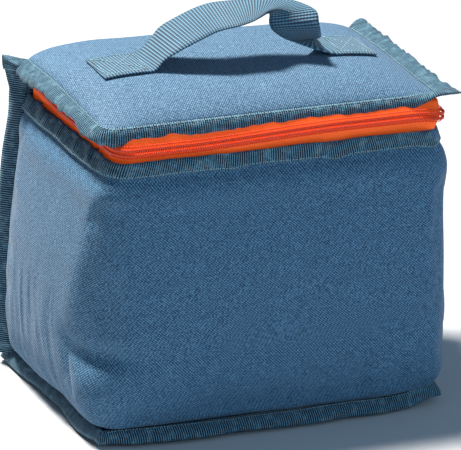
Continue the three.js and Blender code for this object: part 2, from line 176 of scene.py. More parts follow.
def tangents(points, closed=False):
    if closed:
        return unit(np.roll(points, -1, 0) - np.roll(points, 1, 0))
    return unit(np.gradient(points, axis=0))


def make_mesh(name, vertices, faces, uvs=None):
    mesh = bpy.data.meshes.new(name)
    mesh.from_pydata(np.asarray(vertices) * MM, [], faces)
    if uvs is not None:
        layer = mesh.uv_layers.new(name="cloth")
        index = np.empty(len(mesh.loops), np.int64)
        mesh.loops.foreach_get("vertex_index", index)
        layer.data.foreach_set("uv", (np.asarray(uvs) * MM)[index].ravel())
    mesh.polygons.foreach_set("use_smooth", [True] * len(mesh.polygons))
    mesh.update()
    piece = bpy.data.objects.new(name, mesh)
    bpy.context.scene.collection.objects.link(piece)
    return piece


def grid_faces(rows, columns, wrap_columns=False, wrap_rows=False, flip=False):
    faces = []
    for i in range(rows if wrap_rows else rows - 1):
        for j in range(columns if wrap_columns else columns - 1):
            a = i * columns + j
            b = i * columns + (j + 1) % columns
            c = (i + 1) % rows * columns + (j + 1) % columns
            d = (i + 1) % rows * columns + j
            faces.append((a, d, c, b) if flip else (a, b, c, d))
    return faces


def close_ends(faces, rows, columns):
    """The faces of a tube with a cap on its first and its last ring added."""
    first = tuple(range(columns))[::-1]
    last = tuple((rows - 1) * columns + k for k in range(columns))
    return faces + [first, last]


def sheet_mesh(name, points, uvs, thickness, flip=False):
    """A sheet of cloth from a grid of points, thickened away from its outer face."""
    rows, columns = points.shape[:2]
    faces = grid_faces(rows, columns, flip=flip)
    piece = make_mesh(name, points.reshape(-1, 3), faces, uvs.reshape(-1, 2))
    thicken(piece, thickness)
    return piece


def apply_modifiers(piece):
    graph = bpy.context.evaluated_depsgraph_get()
    mesh = bpy.data.meshes.new_from_object(piece.evaluated_get(graph))
    piece.modifiers.clear()
    old = piece.data
    piece.data = mesh
    bpy.data.meshes.remove(old)


def thicken(piece, thickness):
    shell = piece.modifiers.new("shell", "SOLIDIFY")
    shell.thickness = thickness * MM
    shell.offset = -1
    shell.use_even_offset = True
    apply_modifiers(piece)


def finer_grid(values, rows, columns):
    """Values on a coarse grid, spread evenly over a finer one."""
    for axis, count in ((0, rows), (1, columns)):
        place = np.linspace(0, values.shape[axis] - 1, count)
        low = np.minimum(place.astype(int), values.shape[axis] - 2)
        shape = [1] * values.ndim
        shape[axis] = count
        share = (place - low).reshape(shape)
        share = share * share * (3 - 2 * share)
        values = lerp(np.take(values, low, axis), np.take(values, low + 1, axis), share)
    return values


def settle(points, pressure, looseness, cap, frames=14):
    """Lets a sheet held at its edges billow as cloth, and says how far each point moves."""
    rows, columns = points.shape[:2]
    piece = make_mesh("settling_sheet", points.reshape(-1, 3), grid_faces(rows, columns, flip=True))
    index = np.arange(rows * columns).reshape(rows, columns)
    border = np.unique(np.concatenate([index[0], index[-1], index[:, 0], index[:, -1]]))
    piece.vertex_groups.new(name="held").add([int(k) for k in border], 1.0, "REPLACE")
    cloth = piece.modifiers.new("cloth", "CLOTH")
    cloth.settings.vertex_group_mass = "held"
    cloth.settings.quality = 6
    cloth.settings.use_pressure = True
    cloth.settings.uniform_pressure_force = pressure
    cloth.settings.shrink_min = -looseness
    cloth.settings.effector_weights.gravity = 0
    cloth.point_cache.frame_end = frames
    scene = bpy.context.scene
    for frame in range(1, frames + 1):
        scene.frame_set(frame)
    apply_modifiers(piece)
    moved = np.empty(rows * columns * 3)
    piece.data.vertices.foreach_get("co", moved)
    scene.frame_set(1)
    bpy.data.objects.remove(piece)
    shift = moved.reshape(points.shape) / MM - points
    size = np.linalg.norm(shift, axis=-1, keepdims=True)
    return shift * cap * np.tanh(size / cap) / np.maximum(size, 1e-9)


def upper_side(across, out):
    """Normals of a tape whose sewn edge runs square to out, facing upwards."""
    run = joined(-out[:, 1], out[:, 0], 0)
    normal = unit(np.cross(across, run))
    return normal * np.sign(normal[:, 2:3])


def outer_side(line, across, out):
    """Normals of a tape along a line, facing outwards."""
    normal = unit(np.cross(tangents(line), across))
    return normal * np.sign(np.sum(normal * out, axis=1, keepdims=True))


def tape_section(points=7):
    """Round-edged flat section as (across 0..1, through -1..1), once round."""
    turn = np.linspace(0, 1, points)
    across = np.concatenate([turn, turn[::-1]])
    through = np.concatenate([np.ones(points), -np.ones(points)])
    end = np.minimum(across, 1 - across)
    through *= np.where(end < 0.01, 0.35, 1)
    return across, through


def tape(
    name, inner, across, normal, width, thickness, closed=False, puff=0.0, points=7, curl=0.0
):
    """A folded tape: inner is its sewn edge, across points to its free edge.

    curl is how far its middle bows out along the normal."""
    along = arc_length(inner)
    outer_length = arc_length(inner + across * np.reshape(width, (-1, 1)))
    length = np.maximum(along, outer_length)
    a, b = tape_section(points)
    width = np.broadcast_to(width, len(inner))[:, None, None]
    thickness = np.broadcast_to(thickness, len(inner))[:, None, None]
    swell = (1 + puff * np.sin(math.pi * a))[None, :, None]
    place = inner[:, None, :] + across[:, None, :] * a[None, :, None] * width
    place = place + normal[:, None, :] * b[None, :, None] * thickness / 2 * swell
    curl = np.broadcast_to(curl, len(inner))[:, None, None]
    place = place + normal[:, None, :] * curl * np.sin(math.pi * a)[None, :, None]
    uvs = joined(length[:, None], (a * np.sign(b))[None, :] * width[:, :, 0])
    rows, columns = place.shape[:2]
    faces = grid_faces(rows, columns, wrap_columns=True, wrap_rows=closed)
    if not closed:
        faces = close_ends(faces, rows, columns)
    piece = make_mesh(name, place.reshape(-1, 3), faces, uvs.reshape(-1, 2))
    fix_normals(piece)
    return piece


def fix_normals(piece):
    mesh = bmesh.new()
    mesh.from_mesh(piece.data)
    bmesh.ops.recalc_face_normals(mesh, faces=mesh.faces)
    mesh.to_mesh(piece.data)
    mesh.free()


def rod_mesh(name, starts, ends, lift, radius, flat):
    """Many short six-sided rods with tapered ends in one mesh: stitches or zipper teeth.

    Each is squashed by flat along its lift direction."""
    share = np.array([0.0, 0.15, 0.5, 0.85, 1.0])
    size = np.array([0.35, 0.9, 1.0, 0.9, 0.35])
    sides = 6
    vertices, faces = [], []
    for k, (p, q) in enumerate(zip(starts, ends)):
        axis = unit(q - p)
        side = unit(np.cross(axis, lift[k]))
        up = np.cross(side, axis)
        first = len(vertices)
        for t, s in zip(share, size):
            for n in range(sides):
                angle = 2 * math.pi * n / sides
                offset = side * math.cos(angle) + up * math.sin(angle) * flat
                vertices.append(lerp(p, q, t) + offset * radius * s)
        tube = grid_faces(len(share), sides, wrap_columns=True)
        faces += [tuple(first + v for v in face) for face in close_ends(tube, len(share), sides)]
    piece = make_mesh(name, vertices, faces)
    fix_normals(piece)
    return piece


def stitch_row(name, line, normals, pitch, length, radius=0.34):
    """A row of stitches lying on a surface along a line."""
    along = arc_length(line)
    count = int(along[-1] / pitch)
    starts, ends, lifts = [], [], []
    for k in range(count):
        for store, shift, track in (
            (starts, 0.2, line), (ends, length, line), (lifts, 0.5 * pitch, normals)
        ):
            store.append(np.array([np.interp(k * pitch + shift, along, axis) for axis in track.T]))
    return rod_mesh(name, starts, ends, lifts, radius, 0.8)


# ---- the wall's shape ----

WRAP_BACK = BACK_Y - 1.0
CORNER_LENGTH = 25
SIDE_LENGTH = WRAP_BACK - (CENTRE_Y - RIM_Y) - 16
FRONT_LENGTH = 2 * (RIM_X - 16)
WRAP_LENGTH = 2 * SIDE_LENGTH + 2 * CORNER_LENGTH + FRONT_LENGTH
LEFT_CORNER = SIDE_LENGTH + CORNER_LENGTH / 2
RIGHT_CORNER = WRAP_LENGTH - LEFT_CORNER
FRONT_MIDDLE = WRAP_LENGTH / 2
# half width and half depth at the base seam, and how far the filled bag swells beyond them
FOOT_X, FOOT_Y = 112.5, 73.5
SIDE_BULGE, FRONT_BULGE = 12.5, 6.0
# how far the back edges turn in, and how much less the right side swells than the left
BACK_TURN_IN, RIGHT_SLIMMER = 6.5, 4.0
CLOTH_THICKNESS, FILM_THICKNESS = 0.8, 0.5


def plan(s, half_x, half_y, left_radius, right_radius):
    """Points and outward directions on the U-shaped line round the left, front and right.

    s is the length along the cloth from the back left corner."""
    s = np.asarray(s, float)
    wide, deep, left, right = (
        np.broadcast_to(v, s.shape) for v in (half_x, half_y, left_radius, right_radius)
    )
    front = CENTRE_Y - deep
    edges = np.cumsum([0, SIDE_LENGTH, CORNER_LENGTH, FRONT_LENGTH, CORNER_LENGTH, SIDE_LENGTH])
    part = np.clip(np.searchsorted(edges, s, side="right") - 1, 0, 4)
    f = (s - edges[part]) / np.diff(edges)[part]
    x, y, nx, ny = (np.zeros(s.shape) for _ in range(4))
    for k, side, radius in ((0, -1, left), (4, 1, right)):
        m = part == k
        t = f[m] if side < 0 else 1 - f[m]
        x[m] = side * wide[m]
        y[m] = lerp(WRAP_BACK, front[m] + radius[m], t)
        nx[m] = side
    for k, side, radius in ((1, -1, left), (3, 1, right)):
        m = part == k
        turn = (f[m] if side < 0 else 1 - f[m]) * math.pi / 2
        nx[m] = side * np.cos(turn)
        ny[m] = -np.sin(turn)
        x[m] = side * (wide[m] - radius[m]) + radius[m] * nx[m]
        y[m] = front[m] + radius[m] + radius[m] * ny[m]
    m = part == 2
    x[m] = lerp(-(wide[m] - left[m]), wide[m] - right[m], f[m])
    y[m] = front[m]
    ny[m] = -1
    return x, y, nx, ny


def fullness(t):
    """How far the filled wall bulges, from 0 at the base and rim to 1 below the middle."""
    return np.sin(math.pi * np.clip(t, 0, 1) ** 0.75) ** 0.6


def wall_share(z):
    """0 at the base seam, 1 at the rim."""
    return np.clip((z - SEAM_Z) / WALL_HEIGHT, 0, 1)


def wall_size(z):
    """Half width and half depth of the bag at a height: full low down, tucked in at the seam."""
    t = wall_share(z)
    half_x = lerp(FOOT_X, RIM_X, t) + SIDE_BULGE * fullness(t)
    half_y = lerp(FOOT_Y, RIM_Y, t) + FRONT_BULGE * fullness(t)
    return half_x, half_y


def wall_points(s, z, lift=0.0):
    """Points of the outer cloth, with its bulges and folds, moved outwards by lift."""
    half_x, half_y = wall_size(z)
    t = wall_share(z)
    # the right side is flatter than the left, but fuller just below the rim
    slim = RIGHT_SLIMMER * fullness(t) - 3.0 * hump(t, 0.85, 0.12)
    half_x = half_x - slim * (s > FRONT_MIDDLE)
    left_radius = (11 + 27 * hump(t, 0.38, 0.33))
    right_radius = (11 + 6 * np.sin(math.pi * t))
    x, y, nx, ny = plan(s, half_x, half_y, left_radius, right_radius)
    push = wall_relief(s, z, t) + lift
    points = joined(x + nx * push, y + ny * push, z)
    # the back edge of each side turns in towards the back seam
    turn_in = np.exp(-np.minimum(s, WRAP_LENGTH - s) / 7)
    points[..., 0] -= np.sign(points[..., 0]) * BACK_TURN_IN * fullness(t) * turn_in
    return points, joined(nx, ny, 0)


def wall_relief(s, z, t):
    """How far the cloth stands out: crowned panels, a roll below the rim, gathers and folds."""
    side_left, side_right = SIDE_LENGTH / 2, WRAP_LENGTH - SIDE_LENGTH / 2
    across = np.sin(math.pi * t)
    relief = 2.6 * across * hump(s, FRONT_MIDDLE + 20, 75)
    relief += 1.2 * across * (hump(s, side_left, 35) + hump(s, side_right, 35))
    # the front seam bows forwards, most towards the right
    relief += 3.5 * (1 - t) ** 3 * smooth(LEFT_CORNER + 15, RIGHT_CORNER - 40, s) * (
        smooth(RIGHT_CORNER + 5, RIGHT_CORNER - 25, s)
    )
    # the roll of padding just under the rim binding, uneven where the seam gathers it
    roll = 2.2 + 1.2 * ripple(s, 34, 5) - 2.4 * smooth(RIGHT_CORNER - 30, RIGHT_CORNER, s)
    relief += roll * hump(z, RIM_Z - 20, 8)
    relief -= 1.4 * hump(z, RIM_Z - 10.5, 3.5)
    # gathers above the base seam, which is tucked under
    fade = np.exp(-(z - SEAM_Z) / 14)
    relief += 0.8 * fade * soft_noise(s, z * 0.2, 9, 11)
    relief -= 3.5 * np.exp(-(z - SEAM_Z) / 3.5)
    # soft vertical folds low on the left side
    low = hump(z, SEAM_Z + 42, 34) * smooth(SIDE_LENGTH - 5, SIDE_LENGTH - 35, s)
    low = low * smooth(4, 16, s)
    creases = soft_noise(s, z * 0.12, 3.4, 3) + 0.6 * soft_noise(s, z * 0.2, 7, 4)
    relief += 0.42 * low * creases
    # height, then place and width along the cloth, then place and width up from the seam
    dents = [
        (-2.2, SIDE_LENGTH - 38, 14, 2, 9),  # the tuck low on the left side
        (-5.0, LEFT_CORNER, 14, 47, 7),  # the dent beside the front left corner
        (2.2, LEFT_CORNER - 6, 9, 28, 11),  # the knee below it
        (-3.0, LEFT_CORNER + 15, 12, 10, 9),
        (-2.2, LEFT_CORNER + 13, 9, 105, 42),  # the hollow along the corner above it
        (-2.2, RIGHT_CORNER - 17, 9, 5, 8),  # the pucker at the base's front right corner
        (1.8, RIGHT_CORNER + 2, 9, 12, 9),
    ]
    for height, where, length, up, rise in dents:
        relief += height * hump(s, where, length) * hump(z, SEAM_Z + up, rise)
    # the padding's own unevenness
    return relief + 0.6 * soft_noise(s, z, 38, 21) + 0.2 * soft_noise(s, z, 13, 22)


# ---- materials ----


class Nodes:
    """Builds a material's node tree in a few short calls."""

    def __init__(self, name):
        self.material = bpy.data.materials.new(name)
        self.material.use_nodes = True
        self.tree = self.material.node_tree
        self.shader = self.tree.nodes["Principled BSDF"]

    def link(self, out, into):
        self.tree.links.new(out, into)

    def feed(self, value, into):
        """Sets an input to a number or a colour, or links it to an output."""
        if isinstance(value, (int, float)):
            into.default_value = value
        elif isinstance(value, tuple):
            into.default_value = (*value, 1)
        elif value is not None:
            self.link(value, into)

    def math(self, operation, a, b=None):
        node = self.tree.nodes.new("ShaderNodeMath")
        node.operation = operation
        for value, into in zip((a, b), node.inputs):
            self.feed(value, into)
        return node.outputs[0]

    def times(self, a, b):
        return self.math("MULTIPLY", a, b)

    def plus(self, a, b):
        return self.math("ADD", a, b)

    def uv(self):
        node = self.tree.nodes.new("ShaderNodeUVMap")
        node.uv_map = "cloth"
        split = self.tree.nodes.new("ShaderNodeSeparateXYZ")
        self.link(node.outputs[0], split.inputs[0])
        return split.outputs[0], split.outputs[1]

    def noise(self, vector, scale, detail=2.0):
        node = self.tree.nodes.new("ShaderNodeTexNoise")
        node.inputs["Scale"].default_value = scale
        node.inputs["Detail"].default_value = detail
        self.link(vector, node.inputs["Vector"])
        return node.outputs["Fac"]

    def object_place(self):
        return self.tree.nodes.new("ShaderNodeTexCoord").outputs["Object"]

    def ramp(self, factor, stops):
        node = self.tree.nodes.new("ShaderNodeValToRGB")
        self.link(factor, node.inputs[0])
        elements = node.color_ramp.elements
        while len(elements) < len(stops):
            elements.new(0.5)
        for element, (at, colour) in zip(elements, stops):
            element.position = at
            element.color = (*colour, 1)
        return node.outputs[0]

    def mix(self, factor, a, b, how="MIX"):
        node = self.tree.nodes.new("ShaderNodeMix")
        node.data_type = "RGBA"
        node.blend_type = how
        for value, into in ((factor, node.inputs[0]), (a, node.inputs[6]), (b, node.inputs[7])):
            self.feed(value, into)
        return node.outputs[2]

    def bump(self, height, distance, strength=1.0):
        node = self.tree.nodes.new("ShaderNodeBump")
        node.inputs["Strength"].default_value = strength
        node.inputs["Distance"].default_value = distance
        self.link(height, node.inputs["Height"])
        self.link(node.outputs[0], self.shader.inputs["Normal"])
        return node

    def colour(self, out):
        self.link(out, self.shader.inputs["Base Color"])

    def set(self, **values):
        for key, value in values.items():
            self.shader.inputs[key.replace("_", " ")].default_value = value


def wave(n, coordinate, pitch):
    turned = n.math("SINE", n.times(coordinate, 2 * math.pi / pitch))
    return n.plus(n.times(turned, 0.5), 0.5)


def cloth_material(name, base, dark, light, pitch=1.2 * MM, angle=38, contrast=1.0, sheen=0.12):
    """Twill: fine slanted ribs, each broken by the threads that cross it."""
    n = Nodes(name)
    u, v = n.uv()
    a = math.radians(angle)
    slant = n.plus(n.times(u, math.sin(a)), n.times(v, math.cos(a)))
    along = n.math(
        "SUBTRACT", n.times(u, math.cos(a)), n.times(v, math.sin(a))
    )
    rib = wave(n, slant, pitch)
    cross = wave(n, along, pitch * 1.7)
    place = n.object_place()
    patch = n.noise(place, 28.0, 3.0)
    fleck = n.noise(place, 900.0, 2.0)
    depth = n.times(rib, n.plus(n.times(cross, 0.5), 0.5))
    depth = n.plus(n.times(depth, 0.45), n.times(fleck, 0.9))
    depth = n.math("SUBTRACT", depth, 0.15)
    tone = n.ramp(depth, [(0.2, dark), (0.47, base), (0.75, light)])
    flat = n.mix(n.times(patch, 0.5), base, n.mix(0.5, base, light))
    n.colour(n.mix(contrast, flat, tone))
    n.bump(depth, 0.3 * MM, 0.6)
    n.set(Roughness=0.75, Sheen_Weight=sheen, Sheen_Roughness=0.45)
    n.set(Specular_IOR_Level=0.35)
    return n.material


def grosgrain_material(name, base, dark, light, pitch=1.45 * MM, sheen=0.1):
    """Ribbed tape: ribs across its width, with brighter thread tops and dark grooves."""
    n = Nodes(name)
    u, v = n.uv()
    place = n.object_place()
    waver = n.times(n.noise(place, 300.0, 2.0), 0.5 * MM)
    rib = wave(n, n.plus(u, waver), pitch)
    thread = wave(n, v, 0.9 * MM)
    patch = n.noise(place, 200.0, 3.0)
    pucker = n.noise(place, 240.0, 1.0)
    depth = n.plus(n.times(rib, 0.8), n.times(thread, 0.2))
    tone = n.ramp(depth, [(0.35, dark), (0.68, base), (1.0, light)])
    # random patches blended towards the light tone are painted highlight, standing in for light
    # catching the puckered tape
    painted_highlight = n.mix(n.ramp(patch, [(0.5, (0, 0, 0)), (0.78, (0.45, 0.45, 0.45))]), tone, light)
    n.colour(painted_highlight)
    n.bump(n.plus(depth, n.times(pucker, 3.0)), 0.6 * MM, 1.0)
    n.set(Roughness=0.62, Sheen_Weight=sheen, Sheen_Roughness=0.4)
    n.set(Specular_IOR_Level=0.2)
    return n.material


def webbing_material(name, base, dark, light):
    """Woven strap: short bright floats in staggered rows along the strap."""
    n = Nodes(name)
    u, v = n.uv()
    place = n.object_place()
    rows = wave(n, v, 2.0 * MM)
    shift = n.times(n.math("FLOOR", n.math("DIVIDE", v, 1.0 * MM)), 0.1 * MM)
    floats = wave(n, n.plus(u, shift), 2.1 * MM)
    depth = n.plus(n.times(rows, 0.25), n.times(floats, 0.75))
    patch = n.noise(place, 120.0, 3.0)
    tone = n.ramp(depth, [(0.28, dark), (0.58, base), (0.92, light)])
    n.colour(n.mix(n.times(patch, 0.2), tone, light))
    n.bump(depth, 0.6 * MM, 1.0)
    n.set(Roughness=0.6, Sheen_Weight=0.2, Sheen_Roughness=0.4)
    return n.material


def tape_material(name, base, dark, light):
    """Zipper tape: a close plain weave with a faint herringbone."""
    n = Nodes(name)
    u, v = n.uv()
    place = n.object_place()
    warp = wave(n, v, 0.8 * MM)
    weft = wave(n, u, 0.8 * MM)
    depth = n.plus(n.times(warp, 0.5), n.times(weft, 0.5))
    patch = n.noise(place, 60.0, 3.0)
    tone = n.ramp(depth, [(0.1, dark), (0.5, base), (0.9, light)])
    n.colour(n.mix(n.times(patch, 0.25), tone, light))
    n.bump(depth, 0.18 * MM, 0.5)
    # the faint orange glow is painted light: it makes the tape look brighter than its lighting does
    n.set(Roughness=0.62, Emission_Strength=0.2)
    n.set(Specular_IOR_Level=0.2)
    n.set(Emission_Color=(1.0, 0.1, 0.004, 1))
    return n.material


def fibre_material(name, base, light, grain, detail, relief, strength, roughness):
    """Nylon teeth and sewing thread: fine grain in two close tones."""
    n = Nodes(name)
    fine = n.noise(n.object_place(), grain, detail)
    n.colour(n.ramp(fine, [(0.3, base), (0.8, light)]))
    n.bump(fine, relief, strength)
    n.set(Roughness=roughness)
    return n


def zinc_material(name):
    n = Nodes(name)
    place = n.object_place()
    grain = n.noise(place, 700.0, 4.0)
    n.colour(n.ramp(grain, [(0.3, (0.3, 0.3, 0.31)), (0.75, (0.52, 0.52, 0.54))]))
    rough = n.plus(n.times(grain, 0.25), 0.2)
    n.link(rough, n.shader.inputs["Roughness"])
    n.bump(grain, 0.03 * MM, 0.4)
    n.set(Metallic=1.0)
    return n.material


def lining_material(name):
    """Silver wipe-clean lining with a soft crinkle."""
    n = Nodes(name)
    place = n.object_place()
    crinkle = n.noise(place, 55.0, 5.0)
    fine = n.noise(place, 400.0, 2.0)
    n.colour(n.ramp(crinkle, [(0.3, (0.17, 0.175, 0.185)), (0.7, (0.29, 0.295, 0.305))]))
    height = n.plus(crinkle, n.times(fine, 0.1))
    n.bump(height, 1.6 * MM, 0.7)
    n.set(Roughness=0.6, Metallic=0.15)
    return n.material


def foam_material(name):
    n = Nodes(name)
    cells = n.tree.nodes.new("ShaderNodeTexVoronoi")
    cells.inputs["Scale"].default_value = 900.0
    n.link(n.object_place(), cells.inputs["Vector"])
    n.colour(n.ramp(cells.outputs["Distance"], [(0.1, (0.55, 0.55, 0.53)), (0.6, (0.8, 0.8, 0.78))]))
    n.bump(cells.outputs["Distance"], 0.3 * MM, 0.6)
    n.set(Roughness=0.9)
    return n.material


def floor_material():
    n = Nodes("pale_floor")
    grain = n.noise(n.object_place(), 6.0, 2.0)
    n.colour(n.ramp(grain, [(0.3, (0.43, 0.48, 0.53)), (0.7, (0.45, 0.5, 0.55))]))
    n.set(Roughness=0.9)
    return n.material


CLOTH_TONES = (0.028, 0.108, 0.207), (0.003, 0.028, 0.07), (0.12, 0.27, 0.43)
CLOTH = cloth_material("blue_twill", *CLOTH_TONES)
# the lid's tones are the wall fabric's made a little redder and paler: painted light, standing in for
# the light on the top; the back shares them
LID_TONES = (0.037, 0.11, 0.202), (0.006, 0.034, 0.08), (0.14, 0.27, 0.41)
LID_CLOTH = cloth_material("blue_twill_lid", *LID_TONES, angle=-52)
GROSGRAIN = grosgrain_material(
    "teal_grosgrain", (0.02, 0.09, 0.172), (0.002, 0.012, 0.03), (0.22, 0.45, 0.58)
)
WEBBING = webbing_material("teal_webbing", (0.022, 0.1, 0.18), (0.003, 0.018, 0.04), (0.12, 0.29, 0.43))
ZIP_TAPE = tape_material("orange_zip_tape", (1.0, 0.12, 0.015), (0.75, 0.055, 0.008), (1.0, 0.2, 0.04))
COIL_TONES = (0.6, 0.028, 0.005), (0.9, 0.08, 0.018)
ZIP_COIL = fibre_material("orange_zip_coil", *COIL_TONES, 1500.0, 2.0, 0.05 * MM, 0.3, 0.42).material
THREAD_TONES = (0.09, 0.25, 0.34), (0.3, 0.52, 0.6)
THREAD_NODES = fibre_material("teal_thread", *THREAD_TONES, 2200.0, 1.0, 0.1 * MM, 0.6, 0.6)
THREAD_NODES.set(Sheen_Weight=0.4)
THREAD = THREAD_NODES.material
ZINC = zinc_material("zinc_slider")
LINING = lining_material("silver_lining")
FOAM = foam_material("white_foam")


def finish_piece(piece, material, body=None):
    piece.data.materials.clear()
    piece.data.materials.append(material)
    if body:
        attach(piece, body)
    return piece


# from one stitch of a binding to the next
BINDING_PITCH = 2.2


def sew(name, line, normal, length, body):
    """Stitches that hold a binding tape on."""
    stitches = stitch_row(name, line, normal, BINDING_PITCH, length)
    finish_piece(stitches, THREAD, body)


# ---- walls ----


def make_walls():
    s = np.linspace(0, WRAP_LENGTH, 403)
    z = SEAM_Z + (RIM_Z - 0.5 - SEAM_Z) * np.linspace(0, 1, 133) ** 1.1
    grid_s, grid_z = crossed(s, z)
    points, out = wall_points(grid_s, grid_z)
    billow = settle(points[::3, ::3], pressure=3, looseness=0.02, cap=2.2)
    billow = finer_grid(billow, *points.shape[:2])
    held = smooth(RIM_Z - 14, RIM_Z - 30, grid_z)
    held = held * smooth(SEAM_Z, SEAM_Z + 14, grid_z)
    held = held * smooth(0, 14, np.minimum(grid_s, WRAP_LENGTH - grid_s))
    amount = np.sum(billow * out, axis=-1) * held
    points = points + out * np.maximum(amount, -0.8)[..., None]
    # the weave is laid out from the front left corner, so that its slant mirrors there
    steps = np.linalg.norm(np.diff(points, axis=0), axis=-1)
    along = np.concatenate([np.zeros((1, len(z))), np.cumsum(steps, axis=0)])
    corner = np.argmin(np.abs(s - LEFT_CORNER))
    uvs = joined(np.abs(along - along[corner]), grid_z)
    piece = sheet_mesh("wall_cloth", points, uvs, CLOTH_THICKNESS, flip=True)
    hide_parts("front_side_panel")
    finish_piece(piece, CLOTH, "bag")
    return piece


def make_rim_binding():
    s = np.linspace(2, WRAP_LENGTH - 2, 1000)
    pucker = hump(s, FRONT_MIDDLE + 34, 7) + 0.4 * hump(s, FRONT_MIDDLE - 30, 6)
    pucker = pucker + 0.9 * hump(s, RIGHT_CORNER - 8, 9)
    low = RIM_LOW.z + 1.2 + 0.8 * ripple(s, 24, 41) - 2.8 * pucker
    sides = smooth(LEFT_CORNER, SIDE_LENGTH - 20, s)
    low_points, out = wall_points(s, low, (0.6 + 2.4 * sides))
    low_points -= out * (1.2 * pucker)[:, None]
    top = RIM_Z + 0.6 * ripple(s, 30, 42) - 1.6 * pucker
    x, y, nx, ny = plan(s, RIM_X - 0.5, RIM_Y, 11, 11)
    fine = ripple(s, 3.6, 44)
    ruffle = (0.7 + 0.7 * ripple(s, 15, 43) + 1.8 * fine * sides)
    top_points = joined(x + nx * ruffle, y + ny * ruffle, top)
    across, width = span(low_points, top_points)
    normal = outer_side(low_points, across, out)
    curl = fine * (0.2 + 0.8 * sides)
    piece = tape(
        "rim_binding_tape", low_points, across, normal, width, 1.5, puff=0.3, curl=curl
    )
    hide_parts("rim_binding")
    finish_piece(piece, GROSGRAIN, "bag")
    sew("rim_stitches", low_points + across + normal * 0.8, normal, 1.4, "bag")


# ---- base ----


def turning(first, second, count):
    """Directions that turn from one to another square to it, without those two."""
    turn = np.linspace(0, math.pi / 2, count)[1:-1, None]
    return np.cos(turn) * first + np.sin(turn) * second


def square_ring(half_x, half_y, step=1.2, fan=9):
    """Points and outward vectors round a rectangle, with square mitred corners."""
    corners = [(-1, 1), (-1, -1), (1, -1), (1, 1)]
    runs = [(-1, 0), (0, -1), (1, 0), (0, 1)]
    places, outs = [], []
    for k, run in enumerate(runs):
        a = np.array([corners[k][0] * half_x, corners[k][1] * half_y])
        b = np.array([corners[(k + 1) % 4][0] * half_x, corners[(k + 1) % 4][1] * half_y])
        count = max(int(np.linalg.norm(b - a) / step), 2)
        for t in np.linspace(0, 1, count):
            places.append(lerp(a, b, t))
            outs.append(np.array(run, float))
        for v in turning(run, runs[(k + 1) % 4], fan):
            places.append(b)
            outs.append(v / max(abs(v)))
    return np.array(places), np.array(outs)


def base_bow(x, y):
    """How far the base's edge stands out beyond its straight line, and the way it bows."""
    front = smooth(-60, -66, y)
    bow = 7.0 * front * np.clip(1 - np.abs((x - 12) / 112) ** 3.5, 0, 1)
    left = -4.0 * smooth(-100, -106, x) * hump(y, 2, 38)
    return bow + left


def make_base_binding():
    inner_x, inner_y = BASE_X - 8.3, BASE_Y - 8.3
    place, out = square_ring(inner_x, inner_y)
    length = arc_length(place + out * 8)
    bow = base_bow(place[:, 0], place[:, 1])
    square = out / np.linalg.norm(out, axis=1, keepdims=True)
    place = place + square * bow[:, None]
    seam_z = SEAM_Z - 0.4 + 0.7 * ripple(length, 30, 52)
    drop = 6.9 + 1.3 * ripple(length, 26, 53)
    # the front right corner is turned up and the flange is pinched beside it
    corner = np.linalg.norm(place - np.array([inner_x, -inner_y]), axis=1)
    drop = drop + 2.0 * hump(corner, 0, 13)
    seam_z = seam_z + 5.0 * hump(corner, 0, 12)
    drop = np.minimum(drop, seam_z - 1.1)
    reach = 8.2 + 0.8 * ripple(length, 19, 54)
    reach = reach - 2.5 * hump(corner, 0, 12)
    fine = ripple(length, 3.4, 55)
    left_run = smooth(-90, -100, place[:, 0])
    drop = drop + 0.35 * fine * left_run
    left_corner = np.linalg.norm(place - np.array([-inner_x, -inner_y]), axis=1)
    reach = reach - 3.4 * hump(left_corner, 0, 9)
    inner = joined(place[:, 0], place[:, 1] + CENTRE_Y, seam_z)
    edge = inner + joined(out[:, 0] * reach, out[:, 1] * reach, -drop)
    across, width = span(inner, edge)
    normal = upper_side(across, out)
    curl = (0.5 + 0.45 * fine * (0.3 + left_run))
    piece = tape(
        "base_binding_tape", inner, across, normal, width, 2.1, True, puff=0.25, curl=curl
    )
    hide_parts("bottom_binding")
    finish_piece(piece, GROSGRAIN, "bag")
    sew("base_stitches", inner + across * 1.5 + normal * 1.2, normal, 1.5, "bag")


def make_base_panel():
    x = np.linspace(-1, 1, 61)
    y = np.linspace(-1, 1, 41)
    gx, gy = crossed(x, y)
    half_x, half_y = BASE_X - 8.6, BASE_Y - 8.6
    edge = np.maximum(np.abs(gx) ** 6, np.abs(gy) ** 6)
    z = 0.3 + 6.5 * edge + 0.15 * (1 + soft_noise(gx * half_x, gy * half_y, 20, 61))
    points = joined(gx * half_x, gy * half_y + CENTRE_Y, z)
    piece = sheet_mesh("base_cloth", points, points[..., :2], CLOTH_THICKNESS)
    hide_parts("bottom_panel")
    finish_piece(piece, CLOTH, "bag")


# ---- lid ----

# the padding pushes the lid's left seam outwards over the zipper
LID_LEFT = -LID_X - 3.5
LID_CORNER = 8
SEAM_HEIGHTS = {"front_left": 198.6, "front_right": 198.8, "back_left": 203.5, "back_right": 202.5}


def lid_seam_z(x, y):
    """Height of the lid's sewn edge; the lid sits a little crooked on the zipper."""
    u = (np.asarray(x) / LID_X + 1) / 2
    v = np.clip((np.asarray(y) - LID_FRONT) / (LID_BACK - LID_FRONT), 0, 1)
    front = lerp(SEAM_HEIGHTS["front_left"], SEAM_HEIGHTS["front_right"], smooth(0.05, 0.75, u))
    back = lerp(SEAM_HEIGHTS["back_left"], SEAM_HEIGHTS["back_right"], u)
    return lerp(front, back, smooth(0, 0.8, v))


